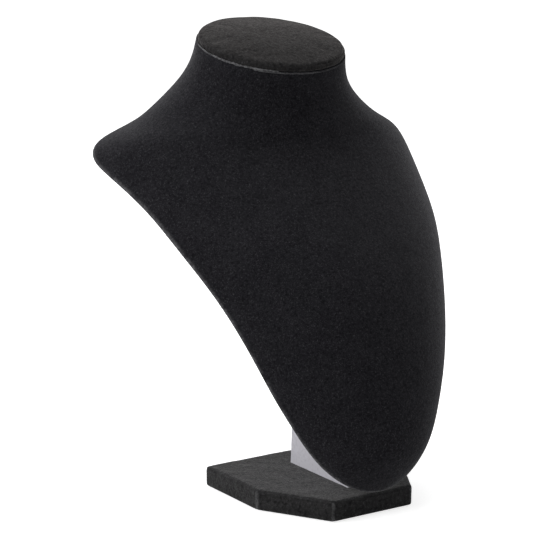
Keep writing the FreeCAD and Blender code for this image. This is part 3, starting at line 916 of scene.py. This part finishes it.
def makeBase(material):
    values = baseValues

    def turnOf(place):
        return math.atan2(place[1], place[0])

    def roundOff(size, test):
        radius, steps = size
        selectWhere(piece, "EDGE", test)
        bpy.ops.mesh.bevel(offset=radius, segments=steps, affect="EDGES")

    deselectAll()
    bpy.ops.mesh.primitive_circle_add(
        vertices=6, radius=values["halfWidth"], fill_type="NGON", location=(0, 0, 0))
    piece = startPiece("base_velvet")
    bpy.ops.object.mode_set(mode="OBJECT")
    points = sorted(piece.data.vertices, key=lambda vertex: turnOf(vertex.co))
    for vertex, corner in zip(points, sorted(baseCorners, key=turnOf)):
        vertex.co = (corner.x, corner.y, values["low"])
    bpy.ops.object.mode_set(mode="EDIT")
    bpy.ops.mesh.select_all(action="SELECT")
    tall = values["high"] - values["low"]
    bpy.ops.mesh.extrude_region_move(TRANSFORM_OT_translate={"value": (0, 0, tall)})
    roundOff(values["cornerRound"], lambda middle, way: abs(way.z) > steep)
    roundOff(values["topRound"], lambda middle, way: middle.z > values["high"] - nearly)
    roundOff(values["lowRound"], lambda middle, way: middle.z < values["low"] + nearly)
    closePiece()
    remeshEvenly(piece, values["voxel"])
    strength, rounds = values["smoothing"]
    applyModifier(piece, "SMOOTH", factor=strength, iterations=rounds)
    pushOut(piece, ridgeAndRuffle)

    def insideHem(middle, normal):
        under = normal.z < -steep and middle.z < values["low"] + mm
        return under and edgeDistance(middle) > values["hem"]

    bpy.ops.object.mode_set(mode="EDIT")
    selectWhere(piece, "FACE", insideHem)
    bpy.ops.mesh.delete(type="FACE")
    bpy.ops.object.mode_set(mode="OBJECT")
    applyModifier(piece, "SOLIDIFY", thickness=values["cloth"], offset=-1.0)
    paint(piece, baseWear)
    smoothFaces(piece, softAngle)
    finishPiece(piece, ["base_cover"], material)


# Floor, light and camera

white = (1.0, 1.0, 1.0, 1.0)
floorValues = {
    "half": 30.0,
    "colour": (0.8, 0.8, 0.8, 1.0),
    "nearLift": 0.75,            # the floor's own brightness near the object, under its shadow
    "near": 0.5,                 # how far out it stays so, and from where it is plain white
    "far": 2.0,
}


def makeFloor():
    values = floorValues
    deselectAll()
    bpy.ops.mesh.primitive_plane_add(size=2 * values["half"], location=(0, 0, 0))
    floor = bpy.context.object
    floor.name = "floor"
    material, tree, shader = newMaterial("pale floor")
    shader.inputs["Base Color"].default_value = values["colour"]
    shader.inputs["Roughness"].default_value = 1.0
    shader.inputs["Specular IOR Level"].default_value = 0.0
    away = addNode(tree, "ShaderNodeVectorMath", {"operation": "LENGTH"})
    tree.links.new(objectPoint(tree), away.inputs[0])
    lift = addRange(
        tree, away.outputs["Value"], values["near"], values["far"], values["nearLift"], 1.0)
    shader.inputs["Emission Color"].default_value = white
    seen = multiply(tree, straightRays(tree), lift)
    tree.links.new(seen, shader.inputs["Emission Strength"])
    floor.data.materials.append(material)


worldStrength = 0.2              # of what lights the object; it is seen as plain white


def makeWorld():
    world = bpy.data.worlds.new("studio")
    bpy.context.scene.world = world
    world.use_nodes = True
    tree = world.node_tree
    background = tree.nodes["Background"]
    background.inputs["Color"].default_value = white
    strength = addRange(tree, straightRays(tree), 0.0, 1.0, worldStrength, 1.0)
    tree.links.new(strength, background.inputs["Strength"])


lightValues = {
    # name: place, aim, width, height, watts
    "left": ((-1.5, 0.35, 0.75), (0, 0, 0.12), 0.9, 0.9, 16.0),
    "top": ((-0.1, 0.35, 1.9), (0, 0, 0.15), 1.3, 1.3, 18.0),
    "front": ((-0.2, -1.95, 0.6), (0, 0, 0.15), 1.2, 1.2, 6.6),
    "right": ((1.1, 0.2, 1.8), (0, 0, 0.2), 0.8, 0.9, 1.8),
    "back": ((0.3, 1.8, 1.0), (0, 0, 0.2), 1.2, 1.0, 5.0),
}


def aimAt(thing, place, aim):
    thing.location = place
    thing.rotation_euler = (Vector(aim) - Vector(place)).to_track_quat("-Z", "Y").to_euler()
    bpy.context.scene.collection.objects.link(thing)


def makeLights():
    for name, (place, aim, width, height, watts) in lightValues.items():
        data = bpy.data.lights.new(name, "AREA")
        data.shape = "RECTANGLE"
        data.size = width
        data.size_y = height
        data.energy = watts
        aimAt(bpy.data.objects.new(name, data), place, aim)


cameraValues = {
    "place": (-0.72397, -1.02676, 0.41446),
    "aim": (-0.01401, 0.04628, 0.15035),
    "lens": 126.67,
    "sensor": 36.0,
}


def makeCamera():
    data = bpy.data.cameras.new("camera")
    data.lens = cameraValues["lens"]
    data.sensor_width = cameraValues["sensor"]
    camera = bpy.data.objects.new("camera", data)
    aimAt(camera, cameraValues["place"], cameraValues["aim"])
    bpy.context.scene.camera = camera


print("bust")
makeBust(bustVelvet)

print("cap")
makeCap(capVelvet)

print("lips")
for lip in lips:
    makeLip(lip, bustVelvet)

print("base")
makeBase(baseVelvet)

print("stage")
makeFloor()
makeWorld()
makeLights()
makeCamera()
bpy.context.scene.view_settings.view_transform = "Standard"
